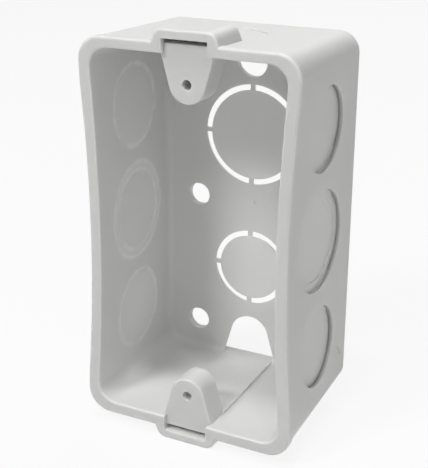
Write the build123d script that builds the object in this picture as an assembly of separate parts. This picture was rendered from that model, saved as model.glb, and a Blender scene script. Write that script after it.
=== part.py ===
from build123d import *
import math
import os

# Switch box moulded in one piece: X runs across, Y runs into the wall, Z is up.
# It is drawn with its rim in the plane y = 0 and is moved at the end, so that the
# centre of its flat back is the origin. All sizes are in millimetres.

os.makedirs("parts", exist_ok=True)

# Rim: the outline of the lip around the open front
RIM_HALF_HEIGHT = 51.85
RIM_HALF_WIDTH = 29.7
RIM_BOW = 2.05
RIM_WAIST = RIM_HALF_WIDTH - RIM_BOW
RIM_CORNER = 6.4
LIP_PROUD = 1.1
LIP_DEPTH = 2.2
LIP_EDGE = 0.8

# The lip fades out towards the corners and is nearly flush along the ends
CORNER_STEP = 0.5
END_STEP = 0.15

# Back of the shell, which is a little smaller than the rim
DEPTH = 43.2
BACK_WALL = 2.1
END_DRAFT = 1.75
SIDE_DRAFT = 1.2
BACK_HALF_HEIGHT = RIM_HALF_HEIGHT - END_DRAFT
BACK_HALF_WIDTH = RIM_HALF_WIDTH - SIDE_DRAFT
BACK_CORNER = 5.5
BACK_EDGE = 0.6

# Cavity: the width of the rim's face, and the walls where they meet the back
RIM_END_FACE = 3.1
RIM_SIDE_FACE = 3.4
RIM_WAIST_FACE = 3.1
END_WALL = 1.8
SIDE_WALL = 1.9
MOUTH_HALF_HEIGHT = RIM_HALF_HEIGHT - RIM_END_FACE
MOUTH_HALF_WIDTH = RIM_HALF_WIDTH - RIM_SIDE_FACE
MOUTH_WAIST = RIM_WAIST - RIM_WAIST_FACE
MOUTH_CORNER = 4.9
MOUTH_LIFT = 0.25
MOUTH_EDGE = 0.45

# Bow of the long sides: an arc from -BOW_REACH to +BOW_REACH, then a straight run to
# the round corners of the mouth
STRAIGHT_RUN = 3.85
BOW_REACH = MOUTH_HALF_HEIGHT - MOUTH_CORNER - STRAIGHT_RUN
BOW_END_INSET = 0.2

# Floor of the cavity, which is the inside of the back wall
FLOOR_HALF_HEIGHT = BACK_HALF_HEIGHT - END_WALL
FLOOR_HALF_WIDTH = BACK_HALF_WIDTH - SIDE_WALL
FLOOR_CORNER = 4.4
FLOOR_BLEND = 2.4

# Lugs that take the two device screws
SCREW_SPACING = 83.3
SCREW_PILOT = 2.6
LUG_TIP_RADIUS = 4.8
LUG_TAPER = 15.9
LUG_RECESS = 1.5
LUG_BACK = 9.3
LUG_EDGE = 0.35
LUG_BEVEL = 0.35

# Slots above and below the lugs, and the pads that close them outside
SLOT_HALF_WIDTH = 6.15
SLOT_BEHIND_RIM = 0.5
SLOT_NEAR = RIM_HALF_HEIGHT - SLOT_BEHIND_RIM
SLOT_HEIGHT = 1.3
SLOT_DEPTH = 11.0
PAD_FOOT_HALF = 9.5
PAD_CREST_HALF = 7.8
PAD_RISE = 3.15
PAD_CREST = RIM_HALF_HEIGHT + PAD_RISE
PAD_DEPTH = 12.5
PAD_ROUND = 3.0
PAD_EDGE = 0.7

# Raised strips behind the lugs, and the arched holes they run out through
UPPER_ARCH_X = -0.4
UPPER_ARCH_TIP = 35.65
UPPER_ARCH_RADIUS = 4.1
UPPER_ARCH_TAPER = 5.0
LOWER_ARCH_TIP = 35.2
LOWER_ARCH_RADIUS = 5.8
LOWER_ARCH_TAPER = 16.0
ARCH_FLARE = 0.9
STRIP_HALF_WIDTH = 7.5
STRIP_RISE = 0.7
STRIP_TOP = FLOOR_HALF_HEIGHT - STRIP_RISE

# Knockouts held by bridges in the back wall
BACK_KNOCKOUT_Z = 19.6
LARGE_RING_RADIUS = 14.1
SMALL_RING_RADIUS = 11.0
RING_SLOT = 1.5
RING_FLARE = 0.9
BRIDGE_WIDTH = 1.15
BRIDGE_THICKNESS = 0.8
BRIDGE_X = -0.5

# Knockouts thinned from outside in the side, top and bottom walls
SIDE_KNOCKOUT_Y = DEPTH / 2
SIDE_KNOCKOUT_Z = 29.5
SINGLE_RADIUS = 11.1
DOUBLE_RADIUS = 13.6
SINGLE_SINK = 1.15
DOUBLE_SINK = 0.95
DOUBLE_CORE_SINK = 1.25
END_WALL_SINK = 0.5
RING_MARK_WIDTH = 0.9
RING_MARK_DEPTH = 0.12

# Screw holes through the back wall
BACK_SCREW_X = 16.55
BACK_SCREW_HOLE = 6.5

# Small marks left by the mould
GATE_PIP_RADIUS = 0.9
GATE_PIP_HEIGHT = 0.35
NAIL_MARK_Y = 37.9
NAIL_MARK_Z = -38.0
NAIL_MARK_LENGTH = 3.8
NAIL_MARK_WIDTH = 1.0
NAIL_MARK_DEPTH = 0.45
NAIL_MARK_TILT = 33.0

# How far a cutter runs past the wall that it cuts, and how far a rib sinks into its wall
CUT_REACH = 6.0
ROOT = 0.6

# Flats that make up a rounded edge where the walls lean
EDGE_STEPS = 4

SCREW_Z = SCREW_SPACING / 2
CAVITY_DEPTH = DEPTH - BACK_WALL


def bowed_outline(y, half_width, waist, half_height, corner):
    """Closed outline in the plane y, with round corners and long sides that bow inward.

    Each long side is an arc through the waist with a short straight run at each end.
    The same twelve edges come in the same order for any sizes, so that outlines at
    two depths can be lofted edge by edge. A waist equal to half_width gives straight
    sides.
    """
    bow_end = half_width - (BOW_END_INSET if waist < half_width else 0.0)
    flat_x = half_width - corner
    flat_z = half_height - corner
    diagonal = corner * math.sqrt(0.5)

    def point(x, z):
        return Vector(x, y, z)

    def corner_arc(sx, sz):
        start = point(sx * flat_x, sz * half_height)
        middle = point(sx * (flat_x + diagonal), sz * (flat_z + diagonal))
        end = point(sx * half_width, sz * flat_z)
        return start, middle, end

    def side(sx):
        """Edges of one long side, from its top end down."""
        top = point(sx * half_width, flat_z)
        upper = point(sx * bow_end, BOW_REACH)
        lower = point(sx * bow_end, -BOW_REACH)
        bottom = point(sx * half_width, -flat_z)
        if waist < half_width:
            bow = ThreePointArc(upper, point(sx * waist, 0), lower)
        else:
            bow = Line(upper, lower)
        return [Line(top, upper), bow, Line(lower, bottom)]

    edges = [Line(point(-flat_x, half_height), point(flat_x, half_height))]
    edges.append(ThreePointArc(*corner_arc(1, 1)))
    edges += side(1)
    edges.append(ThreePointArc(*corner_arc(1, -1)))
    edges.append(Line(point(flat_x, -half_height), point(-flat_x, -half_height)))
    edges.append(ThreePointArc(*corner_arc(-1, -1)))
    edges += side(-1)
    edges.append(ThreePointArc(*corner_arc(-1, 1)))
    return Wire(edges)


def front_outline(inset=0.0):
    """Outside of the shell in the plane of the rim: the rim's outline less its step.

    The step is deepest at the waist, where the lip stands out most.
    """
    return bowed_outline(0, RIM_HALF_WIDTH - CORNER_STEP - inset, RIM_WAIST - LIP_PROUD - inset,
                         RIM_HALF_HEIGHT - END_STEP - inset, RIM_CORNER - CORNER_STEP)


def back_outline(y, inset=0.0):
    """Outside of the shell at its back, which is straight sided."""
    return bowed_outline(y, BACK_HALF_WIDTH - inset, BACK_HALF_WIDTH - inset,
                         BACK_HALF_HEIGHT - inset, BACK_CORNER)


def outer_form(inset=0.0):
    """Outside of the shell without its lip, shrunk all round by inset.

    The bow of the front outline fades out over the depth.
    """
    return Solid.make_loft([front_outline(inset), back_outline(DEPTH, inset)], True)


def quarter_round(radius):
    """Steps of a quarter circle that rounds an edge, as distances from its two faces.

    The first step touches one face, and the last step touches the other.
    """
    turns = [math.radians(90 * step / EDGE_STEPS) for step in range(EDGE_STEPS + 1)]
    return [(radius * (1 - math.sin(turn)), radius * (1 - math.cos(turn))) for turn in turns]


def rounded_outer():
    """Outside of the shell without its lip, with the edge of its back rounded."""
    sections = [front_outline()]
    for from_back, inset in quarter_round(BACK_EDGE):
        sections.append(back_outline(DEPTH - from_back, inset))
    return Solid.make_loft(sections, True)


def mouth_outline(y, outset):
    """Outline of the mouth in the plane y, grown all round by outset."""
    outline = bowed_outline(y, MOUTH_HALF_WIDTH + outset, MOUTH_WAIST + outset,
                            MOUTH_HALF_HEIGHT + outset, MOUTH_CORNER)
    return outline.moved(Location((0, 0, MOUTH_LIFT)))


def mouth_easing():
    """Cutter that rounds the inner edge of the rim, as a quarter circle in short steps."""
    sections = [mouth_outline(depth, outset) for depth, outset in quarter_round(MOUTH_EDGE)]
    sections.append(mouth_outline(-MOUTH_EDGE, MOUTH_EDGE))
    return Solid.make_loft(sections, True)


def cavity_form(outset=0.0):
    """Space inside the shell, grown all round by outset.

    Its mouth sits MOUTH_LIFT above the middle of the rim.
    """
    front = mouth_outline(0, outset)
    back = bowed_outline(CAVITY_DEPTH, FLOOR_HALF_WIDTH + outset, FLOOR_HALF_WIDTH + outset,
                         FLOOR_HALF_HEIGHT + outset, FLOOR_CORNER)
    return Solid.make_loft([front, back], True)


def prism(outline, y_start, y_end):
    """Solid between two depths whose section is a closed list of edges drawn at y = 0."""
    face = Face(Wire(outline)).moved(Location((0, y_start, 0)))
    return Solid.extrude(face, Vector(0, y_end - y_start, 0))


def arched_outline(sign, tip_radius, tip_centre, taper, base):
    """Outline of a tongue that narrows towards the middle of the box and ends in an arc.

    sign is +1 above and -1 below. The flanks touch the tip arc and lean by taper
    degrees. tip_centre and base are heights from the middle of the box.
    """
    lean = math.radians(taper)
    touch_x = tip_radius * math.cos(lean)
    touch_z = tip_centre - tip_radius * math.sin(lean)
    base_x = touch_x + (base - touch_z) * math.tan(lean)
    left_touch = Vector(-touch_x, 0, sign * touch_z)
    right_touch = Vector(touch_x, 0, sign * touch_z)
    left_base = Vector(-base_x, 0, sign * base)
    right_base = Vector(base_x, 0, sign * base)
    tip = Vector(0, 0, sign * (tip_centre - tip_radius))
    return [Line(left_base, left_touch), ThreePointArc(left_touch, tip, right_touch),
            Line(right_touch, right_base), Line(right_base, left_base)]


def block(half_x, y_start, y_end, z_low, z_high):
    """Box centred across the width, between two depths and two heights."""
    centre = Location((0, (y_start + y_end) / 2, (z_low + z_high) / 2))
    return centre * Box(2 * half_x, y_end - y_start, z_high - z_low)


def rod_y(radius, x, z, y_start, y_end):
    """Round bar along Y."""
    place = Location((x, (y_start + y_end) / 2, z), (90, 0, 0))
    return place * Cylinder(radius, y_end - y_start)


def rod_x(radius, y, z, x_start, x_end):
    """Round bar along X."""
    place = Location(((x_start + x_end) / 2, y, z), (0, 90, 0))
    return place * Cylinder(radius, abs(x_end - x_start))


def pad(sign):
    """Pad on the outside that closes one slot, with a level crest and leaning flanks."""
    foot = RIM_HALF_HEIGHT - 2 * ROOT
    points = [(-PAD_FOOT_HALF, foot), (-PAD_CREST_HALF, PAD_CREST),
              (PAD_CREST_HALF, PAD_CREST), (PAD_FOOT_HALF, foot)]
    corners = [Vector(x, 0, sign * z) for x, z in points]
    sides = [Line(a, b) for a, b in zip(corners, corners[1:] + corners[:1])]
    solid = prism(sides, 0, PAD_DEPTH)
    shoulders = [e for e in solid.edges().filter_by(Axis.Y)
                 if abs(e.center().Z) > PAD_CREST - 0.1]
    solid = solid.fillet(PAD_ROUND, shoulders)
    front = [e for e in solid.edges()
             if abs(e.center().Y) < 0.01 and abs(e.center().Z) > RIM_HALF_HEIGHT]
    return solid.fillet(PAD_EDGE, front)


def lip():
    """Raised band around the front of the shell, with its front edge rounded."""
    outline = bowed_outline(0, RIM_HALF_WIDTH, RIM_WAIST, RIM_HALF_HEIGHT, RIM_CORNER)
    band = Solid.extrude(Face(outline), Vector(0, LIP_DEPTH, 0))
    front = [e for e in band.edges() if abs(e.center().Y) < 0.01]
    return band.fillet(LIP_EDGE, front)


def lug(sign):
    """Tongue that carries one device screw, with the edges of its face rounded.

    The edge next to the slot is bevelled instead.
    """
    outline = arched_outline(sign, LUG_TIP_RADIUS, SCREW_Z, LUG_TAPER, SLOT_NEAR)
    solid = prism(outline, LUG_RECESS, LUG_BACK)
    face_edges = [e for e in solid.edges() if abs(e.center().Y - LUG_RECESS) < 0.01]
    base_edge = max(face_edges, key=lambda e: sign * e.center().Z)
    solid = solid.chamfer(LUG_BEVEL / 2, LUG_BEVEL, [base_edge])
    rest = [e for e in solid.edges() if abs(e.center().Y - LUG_RECESS) < 0.01
            and sign * e.center().Z < SLOT_NEAR - LUG_BEVEL - 0.05]
    return solid.fillet(LUG_EDGE, rest)


def arch_cutter(sign, x, tip, radius, taper):
    """Cutter for one arched hole through the back wall.

    Its flanks spread by ARCH_FLARE from the inside of the wall to the back, and its
    tip stays at the same height.
    """
    spread = ARCH_FLARE / BACK_WALL

    def section(y):
        r = radius + spread * (y - CAVITY_DEPTH)
        outline = arched_outline(sign, r, tip + r, taper, STRIP_TOP)
        return Wire(outline).moved(Location((x, y, 0)))

    return Solid.make_loft([section(CAVITY_DEPTH - 1), section(DEPTH + 1)], True)


def ring_slot(z, radius):
    """Cutter for a ring of four slots through the back wall, parted by four thin bridges.

    The slots widen towards the back by RING_FLARE on each flank. The bridges are
    level with the inside of the wall.
    """
    start, end = CAVITY_DEPTH, DEPTH
    place = Location((0, (start + end) / 2, z), (-90, 0, 0))
    thickness = end - start
    outer = place * Cone(radius, radius + RING_FLARE, thickness)
    inner = place * Cone(radius - RING_SLOT, radius - RING_SLOT - RING_FLARE, thickness)
    reach = 2 * (radius + RING_FLARE) + 1
    upright = Location((BRIDGE_X, start, z)) * Box(BRIDGE_WIDTH, 2 * BRIDGE_THICKNESS, reach)
    level = Location((0, start, z)) * Box(reach, 2 * BRIDGE_THICKNESS, BRIDGE_WIDTH)
    return outer - inner - upright - level


def side_reach(side):
    """Start and end of a cutter that runs through one long wall."""
    return side * (MOUTH_WAIST - CUT_REACH), side * (RIM_HALF_WIDTH + CUT_REACH)


def side_pocket(side, z, radius, sink):
    """Cutter for a round pocket of even depth in the outside of one long wall."""
    bar = rod_x(radius, SIDE_KNOCKOUT_Y, z, *side_reach(side))
    return bar - outer_form(sink)


def end_pocket(sign):
    """Cutter for the shallow round pocket in the outside of the top or bottom wall.

    It is cut before the pads are added, because each pad covers a little of it.
    """
    place = Location((0, SIDE_KNOCKOUT_Y, sign * RIM_HALF_HEIGHT))
    bar = place * Cylinder(SINGLE_RADIUS, 2 * CUT_REACH)
    return bar - outer_form(END_WALL_SINK)


def ring_mark(side, z, radius):
    """Cutter for the shallow ring around a knockout on the inside of one long wall."""
    ring = (rod_x(radius + RING_MARK_WIDTH / 2, SIDE_KNOCKOUT_Y, z, *side_reach(side))
            - rod_x(radius - RING_MARK_WIDTH / 2, SIDE_KNOCKOUT_Y, z, *side_reach(side)))
    return ring & cavity_form(RING_MARK_DEPTH)


def nail_mark():
    """Cutter for the small slanting dimple low on the outside of the right wall."""
    place = Location((BACK_HALF_WIDTH, NAIL_MARK_Y, NAIL_MARK_Z), (0, 90, 0))
    slot = extrude(SlotOverall(NAIL_MARK_LENGTH, NAIL_MARK_WIDTH, rotation=NAIL_MARK_TILT),
                   NAIL_MARK_DEPTH, both=True)
    return place * slot


def shell():
    """Walls, lip and pads with the cavity taken out and its edges rounded."""
    outer = rounded_outer() - end_pocket(1) - end_pocket(-1)
    outer -= block(RIM_HALF_WIDTH + 1, -1, LIP_DEPTH / 2, -RIM_HALF_HEIGHT - 1, RIM_HALF_HEIGHT + 1)
    space = cavity_form()
    floor_edges = [e for e in space.edges() if abs(e.center().Y - CAVITY_DEPTH) < 0.01]
    space = space.fillet(FLOOR_BLEND, floor_edges)
    return outer + lip() + pad(1) + pad(-1) - space - mouth_easing()


def with_lugs(body):
    """The shell with its lugs, strips, slots and arched holes."""
    for sign in (1, -1):
        low, high = sorted((sign * (MOUTH_HALF_HEIGHT - CUT_REACH / 2), sign * SLOT_NEAR))
        recess = block(SLOT_HALF_WIDTH, -1, LUG_RECESS, low, high)
        low, high = sorted((sign * STRIP_TOP, sign * (BACK_HALF_HEIGHT - ROOT)))
        strip = block(STRIP_HALF_WIDTH, LUG_BACK - 1, CAVITY_DEPTH + 1, low, high)
        body = body - recess + lug(sign) + strip
        low, high = sorted((sign * SLOT_NEAR, sign * (SLOT_NEAR + SLOT_HEIGHT)))
        body -= block(SLOT_HALF_WIDTH, -1, SLOT_DEPTH, low, high)
        body -= rod_y(SCREW_PILOT / 2, 0, sign * SCREW_Z, 0, LUG_BACK + 1)
    body -= arch_cutter(1, UPPER_ARCH_X, UPPER_ARCH_TIP, UPPER_ARCH_RADIUS, UPPER_ARCH_TAPER)
    return body - arch_cutter(-1, 0, LOWER_ARCH_TIP, LOWER_ARCH_RADIUS, LOWER_ARCH_TAPER)


def with_knockouts(body):
    """The box with its back and side knockouts and the back screw holes."""
    body -= ring_slot(BACK_KNOCKOUT_Z, LARGE_RING_RADIUS)
    body -= ring_slot(-BACK_KNOCKOUT_Z, SMALL_RING_RADIUS)
    for side in (1, -1):
        for z in (SIDE_KNOCKOUT_Z, -SIDE_KNOCKOUT_Z):
            body -= side_pocket(side, z, SINGLE_RADIUS, SINGLE_SINK)
            body -= ring_mark(side, z, SINGLE_RADIUS)
        body -= side_pocket(side, 0, DOUBLE_RADIUS, DOUBLE_SINK)
        body -= side_pocket(side, 0, SINGLE_RADIUS, DOUBLE_CORE_SINK)
        for radius in (DOUBLE_RADIUS, SINGLE_RADIUS):
            body -= ring_mark(side, 0, radius)
        for z in (0, -2 * BACK_KNOCKOUT_Z):
            body -= rod_y(BACK_SCREW_HOLE / 2, side * BACK_SCREW_X, z, CAVITY_DEPTH - 1, DEPTH + 1)
    return body


def with_marks(body):
    """The box with the marks that the mould leaves on it."""
    pip = rod_y(GATE_PIP_RADIUS, 0, 0, CAVITY_DEPTH - GATE_PIP_HEIGHT, CAVITY_DEPTH + 0.5)
    return body + pip - nail_mark()


box = with_marks(with_knockouts(with_lugs(shell())))
box = Location((0, -DEPTH, 0)) * box
export_step(box, "parts/box_body.step")
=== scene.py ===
"""Looks of a one-piece moulded PVC switch box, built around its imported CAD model.

The box itself is the CAD node box_body, dressed here as moulded rigid PVC. The scene
adds the studio: a plain pale floor that rises into a backdrop, soft lamps, and a camera
at the photograph's viewing angle. Everything is in metres in the CAD frame: the origin
is the middle of the box's flat back, -Y leads out of its open front and Z is up.
"""

import logging
import math
from dataclasses import dataclass, field
from enum import Enum
from typing import Any

import bpy
import numpy as np
from mathutils import Matrix, Vector


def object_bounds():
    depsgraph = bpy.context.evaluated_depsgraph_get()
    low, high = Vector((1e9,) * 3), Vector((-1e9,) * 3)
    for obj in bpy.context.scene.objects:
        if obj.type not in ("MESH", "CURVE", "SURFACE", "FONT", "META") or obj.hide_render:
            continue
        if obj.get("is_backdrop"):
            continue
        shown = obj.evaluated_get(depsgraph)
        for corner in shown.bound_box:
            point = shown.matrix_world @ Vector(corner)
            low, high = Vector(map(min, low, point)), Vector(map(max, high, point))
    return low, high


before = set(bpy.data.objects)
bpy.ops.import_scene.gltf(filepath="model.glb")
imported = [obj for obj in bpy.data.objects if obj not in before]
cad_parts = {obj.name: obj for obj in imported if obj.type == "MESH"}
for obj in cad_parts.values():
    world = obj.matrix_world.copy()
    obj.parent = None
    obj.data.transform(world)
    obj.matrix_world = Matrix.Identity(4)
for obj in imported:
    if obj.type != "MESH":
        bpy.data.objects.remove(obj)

log = logging.getLogger("switch_box")

MM = 0.001
PHOTO_WIDTH = 428
PHOTO_HEIGHT = 468

# Nearly all of a noise texture's values lie between these two.
NOISE_LOW, NOISE_HIGH = 0.35, 0.65


def linear(hex_colour: str) -> tuple[float, float, float, float]:
    """Turn an sRGB colour into the linear values that shader sockets take.

    Args:
        hex_colour: Colour as six hexadecimal digits with a leading hash.

    Returns:
        Linear red, green and blue, and an alpha of one.
    """
    channels = [int(hex_colour[i:i + 2], 16) / 255 for i in (1, 3, 5)]
    red, green, blue = (c / 12.92 if c <= 0.04045 else ((c + 0.055) / 1.055) ** 2.4
                        for c in channels)
    return red, green, blue, 1.0


def add_node(tree: bpy.types.NodeTree, kind: str, settings: dict[str, Any] | None = None,
             inputs: dict[Any, Any] | None = None) -> bpy.types.Node:
    """Add one shader node with its settings, constants and links.

    Args:
        tree: Node tree that receives the node.
        kind: Blender's type name of the node.
        settings: Attributes to set on the node.
        inputs: Socket name or number to a constant, or to an output socket to link.

    Returns:
        The new node.
    """
    node = tree.nodes.new(kind)
    for name, value in (settings or {}).items():
        setattr(node, name, value)
    for name, value in (inputs or {}).items():
        if isinstance(value, bpy.types.NodeSocket):
            tree.links.new(value, node.inputs[name])
        else:
            node.inputs[name].default_value = value
    return node


def new_material(name: str) -> tuple[bpy.types.Material, bpy.types.NodeTree]:
    """Make a material with an empty node tree.

    Args:
        name: Name of the material.

    Returns:
        The material and its tree.
    """
    material = bpy.data.materials.new(name)
    material.use_nodes = True
    material.node_tree.nodes.clear()
    return material, material.node_tree


def seen_directly(tree: bpy.types.NodeTree) -> bpy.types.NodeSocket:
    """Tell the rays that show the background from those that light the box with it.

    Args:
        tree: Node tree that receives the nodes.

    Returns:
        One for camera rays, reflections and rays that pass clear material, else zero.
    """
    seen = add_node(tree, "ShaderNodeLightPath").outputs
    mirrored = add_node(tree, "ShaderNodeMath", {"operation": "MAXIMUM"}, {
        0: seen["Is Camera Ray"], 1: seen["Is Glossy Ray"]})
    return add_node(tree, "ShaderNodeMath", {"operation": "MAXIMUM"}, {
        0: mirrored.outputs["Value"], 1: seen["Is Transmission Ray"]}).outputs["Value"]


class Wall(Enum):
    """Walls that carry round knockouts.

    Each value is a mask that drops the coordinate across the wall.
    """

    BACK = (1.0, 0.0, 1.0)
    SIDES = (0.0, 1.0, 1.0)


@dataclass(frozen=True)
class Knockout:
    """A round plate of thinner wall that can be pushed out.

    Painted light makes the thin plate a little paler from inside the box, standing in for
    light from behind that passes it, and paints the thinnest ring round it paler still.

    Attributes:
        wall: The wall that it is in.
        centre: Its centre, in metres; the coordinate across the wall counts for nothing.
        radius: Radius of the plate, in metres.
        glow: How much paler the plate is, as a share of its colour.
        ring_glow: How much paler the ring round it is.
        ring_width: Width of that ring, in metres.
        soft: Half the width of the plate's blurred edge, in metres.
        patch: Length over which the ring, which isn't evenly thin, fades in and out.
        wander: How far the ring's paleness departs from its mean, as a share of it.
    """

    wall: Wall
    centre: tuple[float, float, float]
    radius: float
    glow: float
    ring_glow: float = 0.0
    ring_width: float = 1.3 * MM
    soft: float = 0.35 * MM
    patch: float = 3.0 * MM
    wander: float = 0.6

    def paleness(self, tree: bpy.types.NodeTree, place: bpy.types.NodeSocket,
                 facing_in: bpy.types.NodeSocket) -> bpy.types.NodeSocket:
        """Add the nodes that say how much painted light makes each point paler.

        Args:
            tree: Node tree of the material.
            place: Object coordinates.
            facing_in: One where the wall's surface faces into the box, zero elsewhere.

        Returns:
            The paleness, zero outside the plate and its ring.
        """
        mask = Vector(self.wall.value)
        flat = add_node(tree, "ShaderNodeVectorMath", {"operation": "MULTIPLY"},
                        {0: place, 1: mask})
        away = add_node(tree, "ShaderNodeVectorMath", {"operation": "DISTANCE"},
                        {0: flat.outputs["Vector"], 1: Vector(self.centre) * mask})
        # Painted light: the plate and its ring are painted paler, for light that passes the thin
        # wall.
        plate = add_node(tree, "ShaderNodeMapRange", {"interpolation_type": "SMOOTHSTEP"}, {
            "Value": away.outputs["Value"], "From Min": self.radius - self.soft,
            "From Max": self.radius + self.soft, "To Min": self.glow, "To Max": 0.0})
        from_ring = add_node(tree, "ShaderNodeMath", {"operation": "SUBTRACT"},
                             {0: away.outputs["Value"], 1: self.radius})
        off_ring = add_node(tree, "ShaderNodeMath", {"operation": "ABSOLUTE"},
                            {0: from_ring.outputs["Value"]})
        ring = add_node(tree, "ShaderNodeMapRange", {"interpolation_type": "SMOOTHSTEP"}, {
            "Value": off_ring.outputs["Value"], "From Min": 0.0,
            "From Max": self.ring_width, "To Min": self.ring_glow, "To Max": 0.0})
        uneven = add_node(tree, "ShaderNodeTexNoise", inputs={
            "Vector": place, "Scale": 1 / self.patch, "Detail": 2.0})
        patchy = add_node(tree, "ShaderNodeMapRange", inputs={
            "Value": uneven.outputs["Fac"], "From Min": NOISE_LOW, "From Max": NOISE_HIGH,
            "To Min": 1 - self.wander, "To Max": 1 + self.wander})
        mark = add_node(tree, "ShaderNodeMath", {"operation": "MULTIPLY"},
                        {0: ring.outputs["Result"], 1: patchy.outputs["Result"]})
        both = add_node(tree, "ShaderNodeMath", {"operation": "ADD"},
                        {0: plate.outputs["Result"], 1: mark.outputs["Value"]})
        inside = add_node(tree, "ShaderNodeMath", {"operation": "MULTIPLY"},
                          {0: both.outputs["Value"], 1: facing_in})
        return inside.outputs["Value"]


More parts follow.
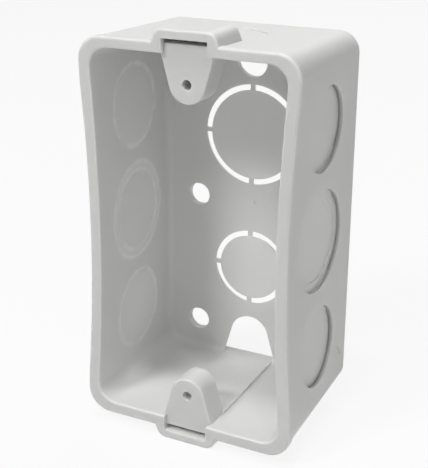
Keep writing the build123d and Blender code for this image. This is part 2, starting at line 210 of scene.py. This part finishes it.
@dataclass(frozen=True)
class MouldedRigidPvc:
    """Light grey rigid PVC, injection moulded in a spark-eroded steel mould.

    The filler makes it nearly opaque with a soft satin sheen, and a little light still
    passes its thinnest plates. The fine texture of the mould breaks up its highlights,
    and the colour swims a little where the melt flowed. Painted shade darkens the colour
    of its front faces and of the steps round the side knockouts, and painted light makes
    the knockouts paler from inside.

    Attributes:
        colour: sRGB colour of the plain wall.
        flow_colour: sRGB colour of the paler streaks that the melt leaves.
        roughness: Roughness between the spark-erosion pits.
        roughness_spread: How far the roughness wanders over the surface.
        ior: Refractive index of rigid PVC.
        grain: Spacing of the mould texture, in metres.
        grain_depth: Depth of the mould texture, in metres.
        flow: Length of a flow streak, in metres.
        translucency: Share of the light that travels inside the plastic.
        light_tint: How far red, green and blue travel there beside each other.
        depth_of_light: How far light travels there, in metres.
        front: How far in front of the back the painted shade begins, in metres.
        front_lean: How squarely a face looks forward where the painted shade begins
            and where it is full, as the cosine of its angle.
        front_shade: Share of the colour that is left under the painted front shade.
        step_shade_reach: How far from a corner the painted shade reaches, in metres.
        step_shade_openness: Share of open sky where the step shade is full and ends.
        step_shade_share: Share of the colour left in the deepest corner's painted shade.
        step_shade_side: How far from the middle the painted shade outside begins, in metres.
        step_shade_depth: How far in front of the back it begins, in metres.
        knockouts: Plates that painted light makes a little paler.
    """

    colour: str = "#D8D8D7"
    flow_colour: str = "#DDDDDC"
    roughness: float = 0.42
    roughness_spread: float = 0.08
    ior: float = 1.53
    grain: float = 0.55 * MM
    grain_depth: float = 0.012 * MM
    flow: float = 22 * MM
    translucency: float = 0.7
    light_tint: tuple[float, float, float] = (1.0, 1.0, 0.95)
    depth_of_light: float = 2.5 * MM
    front: float = 41.0 * MM
    front_lean: tuple[float, float] = (0.6, 0.95)
    front_shade: float = 0.85
    step_shade_reach: float = 2.0 * MM
    step_shade_openness: tuple[float, float] = (0.5, 0.92)
    step_shade_share: float = 0.48
    step_shade_side: float = 27.0 * MM
    step_shade_depth: float = 7.0 * MM
    knockouts: tuple[Knockout, ...] = ()

    def painted_front_shade(self, tree: bpy.types.NodeTree, depth: bpy.types.NodeSocket,
                lean: bpy.types.NodeSocket) -> bpy.types.NodeSocket:
        """Add the nodes that paint shade on the front faces, darkening their colour.

        Args:
            tree: Node tree of the material.
            depth: Coordinate along the depth, zero at the back and negative in front.
            lean: The same coordinate of the surface's normal.

        Returns:
            The factor for the colour.
        """
        # Painted shade: faces that look forward near the mouth are darkened in their colour.
        ahead = add_node(tree, "ShaderNodeMath", {"operation": "LESS_THAN"},
                         {0: depth, 1: -self.front})
        slanting, square_on = self.front_lean
        square = add_node(tree, "ShaderNodeMapRange", {"interpolation_type": "SMOOTHSTEP"}, {
            "Value": lean, "From Min": -square_on, "From Max": -slanting,
            "To Min": 1.0, "To Max": 0.0})
        shaded_front = add_node(tree, "ShaderNodeMath", {"operation": "MULTIPLY"},
                          {0: ahead.outputs["Value"], 1: square.outputs["Result"]})
        return add_node(tree, "ShaderNodeMapRange", inputs={
            "Value": shaded_front.outputs["Value"], "To Min": 1.0, "To Max": self.front_shade
            }).outputs["Result"]

    def painted_step_shade(self, tree: bpy.types.NodeTree, across: bpy.types.NodeSocket,
             depth: bpy.types.NodeSocket) -> bpy.types.NodeSocket:
        """Add the nodes for the painted shade in the steps on the outside of the side walls.

        Args:
            tree: Node tree of the material.
            across: Coordinate across the width, zero in the middle.
            depth: Coordinate along the depth, zero at the back and negative in front.

        Returns:
            The factor for the colour.
        """
        # Painted shade: ambient occlusion darkens the colour in the outside steps, where shade
        # falls.
        open_sky = add_node(tree, "ShaderNodeAmbientOcclusion", {"samples": 8},
                            {"Distance": self.step_shade_reach})
        shade_strength = add_node(tree, "ShaderNodeMapRange", inputs={
            "Value": open_sky.outputs["AO"], "From Min": self.step_shade_openness[0],
            "From Max": self.step_shade_openness[1], "To Min": 1.0, "To Max": 0.0})
        aside = add_node(tree, "ShaderNodeMath", {"operation": "ABSOLUTE"}, {0: across})
        outside = add_node(tree, "ShaderNodeMath", {"operation": "GREATER_THAN"},
                           {0: aside.outputs["Value"], 1: self.step_shade_side})
        ahead = add_node(tree, "ShaderNodeMath", {"operation": "LESS_THAN"},
                         {0: depth, 1: -self.step_shade_depth})
        there = add_node(tree, "ShaderNodeMath", {"operation": "MULTIPLY"},
                         {0: outside.outputs["Value"], 1: ahead.outputs["Value"]})
        amount = add_node(tree, "ShaderNodeMath", {"operation": "MULTIPLY"},
                          {0: there.outputs["Value"], 1: shade_strength.outputs["Result"]})
        return add_node(tree, "ShaderNodeMapRange", inputs={
            "Value": amount.outputs["Value"], "To Min": 1.0, "To Max": self.step_shade_share
            }).outputs["Result"]

    def shade(self, tree: bpy.types.NodeTree, place: bpy.types.NodeSocket
              ) -> bpy.types.NodeSocket:
        """Add the nodes for how bright the colour is at each point.

        Args:
            tree: Node tree of the material.
            place: Object coordinates.

        Returns:
            The factor for the colour.
        """
        normal = add_node(tree, "ShaderNodeNewGeometry").outputs["True Normal"]
        normals = add_node(tree, "ShaderNodeSeparateXYZ", inputs={0: normal}).outputs
        places = add_node(tree, "ShaderNodeSeparateXYZ", inputs={0: place}).outputs
        side = add_node(tree, "ShaderNodeMath", {"operation": "SIGN"}, {0: places["X"]})
        outward = {Wall.BACK: normals["Y"],
                   Wall.SIDES: add_node(tree, "ShaderNodeMath", {"operation": "MULTIPLY"}, {
                       0: normals["X"], 1: side.outputs["Value"]}).outputs["Value"]}
        # The factor holds painted shade on front faces and outside steps, and painted light on
        # knockouts.
        factor = add_node(tree, "ShaderNodeMath", {"operation": "MULTIPLY"}, {
            0: self.painted_front_shade(tree, places["Y"], normals["Y"]),
            1: self.painted_step_shade(tree, places["X"], places["Y"])}).outputs["Value"]
        for knockout in self.knockouts:
            facing_in = add_node(tree, "ShaderNodeMath", {"operation": "LESS_THAN"},
                                 {0: outward[knockout.wall], 1: -0.5}).outputs["Value"]
            paler = knockout.paleness(tree, place, facing_in)
            factor = add_node(tree, "ShaderNodeMath", {"operation": "MULTIPLY_ADD"}, {
                0: factor, 1: paler, 2: factor}).outputs["Value"]
        return factor

    def build(self) -> bpy.types.Material:
        """Build the node tree.

        Returns:
            The finished material.
        """
        material, tree = new_material("moulded_rigid_pvc")
        place = add_node(tree, "ShaderNodeTexCoord").outputs["Object"]
        flow = add_node(tree, "ShaderNodeTexNoise", inputs={
            "Vector": place, "Scale": 1 / self.flow, "Detail": 3.0, "Roughness": 0.5})
        colour = add_node(tree, "ShaderNodeMix", {"data_type": "RGBA"}, {
            0: flow.outputs["Fac"], 6: linear(self.colour), 7: linear(self.flow_colour)})
        shaded = add_node(tree, "ShaderNodeVectorMath", {"operation": "SCALE"}, {
            0: colour.outputs[2], "Scale": self.shade(tree, place)})
        grain = add_node(tree, "ShaderNodeTexNoise", inputs={
            "Vector": place, "Scale": 1 / self.grain, "Detail": 2.0, "Roughness": 0.6})
        roughness = add_node(tree, "ShaderNodeMapRange", inputs={
            "Value": flow.outputs["Fac"],
            "To Min": self.roughness - self.roughness_spread,
            "To Max": self.roughness + self.roughness_spread})
        bump = add_node(tree, "ShaderNodeBump", inputs={
            "Height": grain.outputs["Fac"], "Distance": self.grain_depth, "Strength": 1.0})
        shader = add_node(tree, "ShaderNodeBsdfPrincipled", inputs={
            "Base Color": shaded.outputs["Vector"], "Roughness": roughness.outputs["Result"],
            "IOR": self.ior, "Normal": bump.outputs["Normal"],
            "Subsurface Weight": self.translucency, "Subsurface Radius": self.light_tint,
            "Subsurface Scale": self.depth_of_light})
        add_node(tree, "ShaderNodeOutputMaterial", inputs={"Surface": shader.outputs["BSDF"]})
        return material


@dataclass(frozen=True)
class PaintedPaper:
    """White background paper that shows as flat white to the camera.

    Part of what the camera sees is plain light, so the paper is white in the picture,
    and the rest is a matt surface that keeps a soft shadow of the box.

    Attributes:
        colour: sRGB colour of the paper.
        shown: sRGB colour that the camera sees where no shadow falls.
        lift: Factor on that colour, which makes up for the share of real surface.
        shadow: Share of the real surface in what the camera sees.
    """

    colour: str = "#F2F2F2"
    shown: str = "#FAFAFA"
    lift: float = 1.03
    shadow: float = 0.1

    def build(self) -> bpy.types.Material:
        """Build the node tree.

        Returns:
            The finished material.
        """
        material, tree = new_material("white_background_paper")
        surface = add_node(tree, "ShaderNodeBsdfDiffuse", inputs={"Color": linear(self.colour)})
        light = add_node(tree, "ShaderNodeEmission",
                         inputs={"Color": linear(self.shown), "Strength": self.lift})
        share = add_node(tree, "ShaderNodeMath", {"operation": "MULTIPLY"}, {
            0: seen_directly(tree), 1: 1 - self.shadow})
        mix = add_node(tree, "ShaderNodeMixShader", inputs={
            0: share.outputs["Value"], 1: surface.outputs["BSDF"], 2: light.outputs["Emission"]})
        add_node(tree, "ShaderNodeOutputMaterial", inputs={"Surface": mix.outputs["Shader"]})
        return material


@dataclass
class SwitchBox:
    """The moulded box: one CAD node that keeps its shape and gets its finish here.

    Attributes:
        node: Name of the CAD node.
        mid_depth: Depth of the side knockouts, from the back, in metres.
        side_height: Height of the upper side knockouts above the middle, in metres.
        back_height: Height of the upper back knockout above the middle, in metres.
        single: Radius of a plain knockout in a side wall, in metres.
        double: Radius of the larger plate round the middle one, in metres.
        large: Radius of the upper back knockout, in metres.
        small: Radius of the lower back knockout, in metres.
    """

    node: str = "box_body"
    mid_depth: float = 21.6 * MM
    side_height: float = 29.5 * MM
    back_height: float = 19.6 * MM
    single: float = 11.1 * MM
    double: float = 13.6 * MM
    large: float = 12.6 * MM
    small: float = 9.5 * MM

    def knockouts(self) -> tuple[Knockout, ...]:
        """List the thin plates that light passes.

        Returns:
            The knockouts of the side walls and of the back wall.
        """
        y, z, back_z = -self.mid_depth, self.side_height, self.back_height
        return (
            Knockout(Wall.SIDES, (0, y, z), self.single, -0.01, 0.13),
            Knockout(Wall.SIDES, (0, y, 0), self.double, 0.03, 0.11),
            Knockout(Wall.SIDES, (0, y, 0), self.single, -0.1, 0.09),
            Knockout(Wall.SIDES, (0, y, -z), self.single, -0.01, 0.12),
            Knockout(Wall.BACK, (0, 0, back_z), self.large, 0.15),
            Knockout(Wall.BACK, (0, 0, -back_z), self.small, 0.1),
        )

    def dress(self) -> bpy.types.Object:
        """Put the moulded finish on the CAD node.

        Returns:
            The dressed node.
        """
        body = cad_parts[self.node]
        material = MouldedRigidPvc(knockouts=self.knockouts()).build()
        for slot in body.material_slots:
            slot.material = material
        log.info("%s dressed as %s", self.node, material.name)
        return body


@dataclass(frozen=True)
class SoftLamp:
    """A square soft box.

    Attributes:
        name: Name of the lamp.
        azimuth: Direction of the lamp seen from above, in degrees; 0 is in front of the
            box and 90 to its right.
        elevation: Height of the lamp above the horizon, in degrees.
        distance: Distance from the middle of the box, in metres.
        size: Side of the lamp's face, in metres.
        level: Light that it throws on a surface that faces it, where 1 shows a colour
            as it is written.
    """

    name: str
    azimuth: float
    elevation: float
    distance: float
    size: float
    level: float

    def build(self, target: Vector) -> bpy.types.Object:
        """Hang the lamp and aim it.

        A square Lambertian source of power P and side s gives about P / (pi * d * d)
        of irradiance at distance d, and an irradiance of pi shows a white surface as
        white, so P is level times pi squared times d squared.

        Args:
            target: Point that the lamp faces.

        Returns:
            The lamp.
        """
        lamp = bpy.data.lights.new(self.name, "AREA")
        lamp.shape = "SQUARE"
        lamp.size = self.size
        lamp.energy = self.level * math.pi ** 2 * self.distance ** 2
        a, e = math.radians(self.azimuth), math.radians(self.elevation)
        away = Vector((math.sin(a) * math.cos(e), -math.cos(a) * math.cos(e), math.sin(e)))
        holder = bpy.data.objects.new(self.name, lamp)
        holder.matrix_world = (Matrix.Translation(target + away * self.distance)
                               @ (-away).to_track_quat("-Z", "Y").to_matrix().to_4x4())
        bpy.context.scene.collection.objects.link(holder)
        return holder


@dataclass
class Studio:
    """Floor, backdrop, lamps, world and camera.

    Attributes:
        paper: Finish of the floor and backdrop.
        reach: Distance from the box to the edges of the floor, in metres.
        curl: Radius of the bend where the floor rises into the backdrop, in metres.
        bend_points: Points along that bend.
        camera_place: Where the camera stands, in metres.
        camera_yaw: Turn of the camera to the left of +Y, in degrees.
        camera_pitch: Tilt of the camera below the horizon, in degrees.
        camera_roll: Turn of the camera about its own line of sight, in degrees.
        focal_pixels: Focal length, in pixels of the photograph.
        centre_pixels: Pixel of the photograph that the line of sight meets.
        world_level: Strength of the even light that fills the room.
        lamps: The soft boxes.
    """

    paper: PaintedPaper = field(default_factory=PaintedPaper)
    reach: float = 1.6
    curl: float = 0.5
    bend_points: int = 25
    camera_place: tuple[float, float, float] = (0.115365, -0.262379, 0.099115)
    camera_yaw: float = 28.19
    camera_pitch: float = 19.42
    camera_roll: float = -0.29
    focal_pixels: float = 1072.16
    centre_pixels: tuple[float, float] = (176.19, 206.2)
    world_level: float = 0.02
    lamps: tuple[SoftLamp, ...] = (
        SoftLamp("key_soft_box", -24, 44, 1.2, 0.25, 0.48),
        SoftLamp("overhead_spot", 6, 78, 1.2, 0.12, 0.29),
        SoftLamp("high_front_box", 20, 62, 1.2, 0.6, 0.16),
        SoftLamp("right_soft_box", 38, 28, 1.2, 0.9, 0.14),
        SoftLamp("rear_soft_box", 180, 45, 1.2, 0.6, 0.21),
    )

    def floor(self, height: float) -> bpy.types.Object:
        """Make the floor that bends up into a backdrop behind the box.

        The profile runs level from the front, turns up through a quarter circle and
        goes on straight up. It is swept across the width: point (u, v) is the profile
        at length u, moved sideways by v.

        Args:
            height: Level of the floor, in metres.

        Returns:
            The sweep.
        """
        bend = np.linspace(0, math.pi / 2, self.bend_points)
        along = np.concatenate(([-self.reach], self.reach + self.curl * np.sin(bend),
                                [self.reach + self.curl]))
        up = np.concatenate(([0.0], self.curl * (1 - np.cos(bend)), [2 * self.reach]))
        across = np.linspace(-2 * self.reach, 2 * self.reach, 2)
        x, y = np.meshgrid(across, along)
        z = np.repeat((height + up)[:, None], len(across), axis=1)
        points = np.stack([x, y, z], axis=-1).reshape(-1, 3)
        rows, columns = x.shape
        first = (np.arange(rows - 1)[:, None] * columns + np.arange(columns - 1)).ravel()
        quads = np.stack([first, first + 1, first + columns + 1, first + columns], axis=1)
        mesh = bpy.data.meshes.new("floor_sweep")
        mesh.from_pydata(points.tolist(), [], quads.tolist())
        mesh.shade_smooth()
        sweep = bpy.data.objects.new("floor_sweep", mesh)
        sweep.data.materials.append(self.paper.build())
        bpy.context.scene.collection.objects.link(sweep)
        sweep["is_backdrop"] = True
        return sweep

    def camera(self) -> bpy.types.Object:
        """Stand the camera where the photograph was taken from.

        Returns:
            The camera, which is now the scene's.
        """
        lens = bpy.data.cameras.new("photo_camera")
        larger = max(PHOTO_WIDTH, PHOTO_HEIGHT)
        lens.sensor_fit = "AUTO"
        lens.sensor_width = 36.0
        lens.lens = self.focal_pixels / larger * lens.sensor_width
        lens.shift_x = (PHOTO_WIDTH / 2 - self.centre_pixels[0]) / larger
        lens.shift_y = (self.centre_pixels[1] - PHOTO_HEIGHT / 2) / larger
        lens.clip_start, lens.clip_end = 0.01, 20.0
        holder = bpy.data.objects.new("photo_camera", lens)
        turn = (Matrix.Rotation(math.radians(self.camera_yaw), 4, "Z")
                @ Matrix.Rotation(math.radians(90 - self.camera_pitch), 4, "X")
                @ Matrix.Rotation(math.radians(self.camera_roll), 4, "Z"))
        holder.matrix_world = Matrix.Translation(self.camera_place) @ turn
        bpy.context.scene.collection.objects.link(holder)
        bpy.context.scene.camera = holder
        return holder

    def world(self) -> bpy.types.World:
        """Fill the room with faint even light and show the paper's colour beyond it.

        Returns:
            The world.
        """
        world = bpy.data.worlds.new("studio_room")
        world.use_nodes = True
        tree = world.node_tree
        tree.nodes.clear()
        strength = add_node(tree, "ShaderNodeMapRange", inputs={
            "Value": seen_directly(tree), "To Min": self.world_level, "To Max": 1.0})
        light = add_node(tree, "ShaderNodeBackground", inputs={
            "Color": linear(self.paper.shown), "Strength": strength.outputs["Result"]})
        add_node(tree, "ShaderNodeOutputWorld", inputs={"Surface": light.outputs["Background"]})
        bpy.context.scene.world = world
        return world

    def build(self, low: Vector, high: Vector) -> None:
        """Set up the whole studio round the object.

        Args:
            low: Lowest corner of the object.
            high: Highest corner of the object.
        """
        bpy.context.scene.view_settings.view_transform = "Standard"
        self.floor(low.z)
        self.camera()
        self.world()
        for lamp in self.lamps:
            lamp.build((low + high) / 2)
        log.info("studio built with %d lamps", len(self.lamps))


def main() -> None:
    """Dress the box, then build the studio round it."""
    logging.basicConfig(level=logging.INFO)
    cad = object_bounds()
    SwitchBox().dress()
    Studio().build(*cad)


if __name__ == "__main__":
    main()
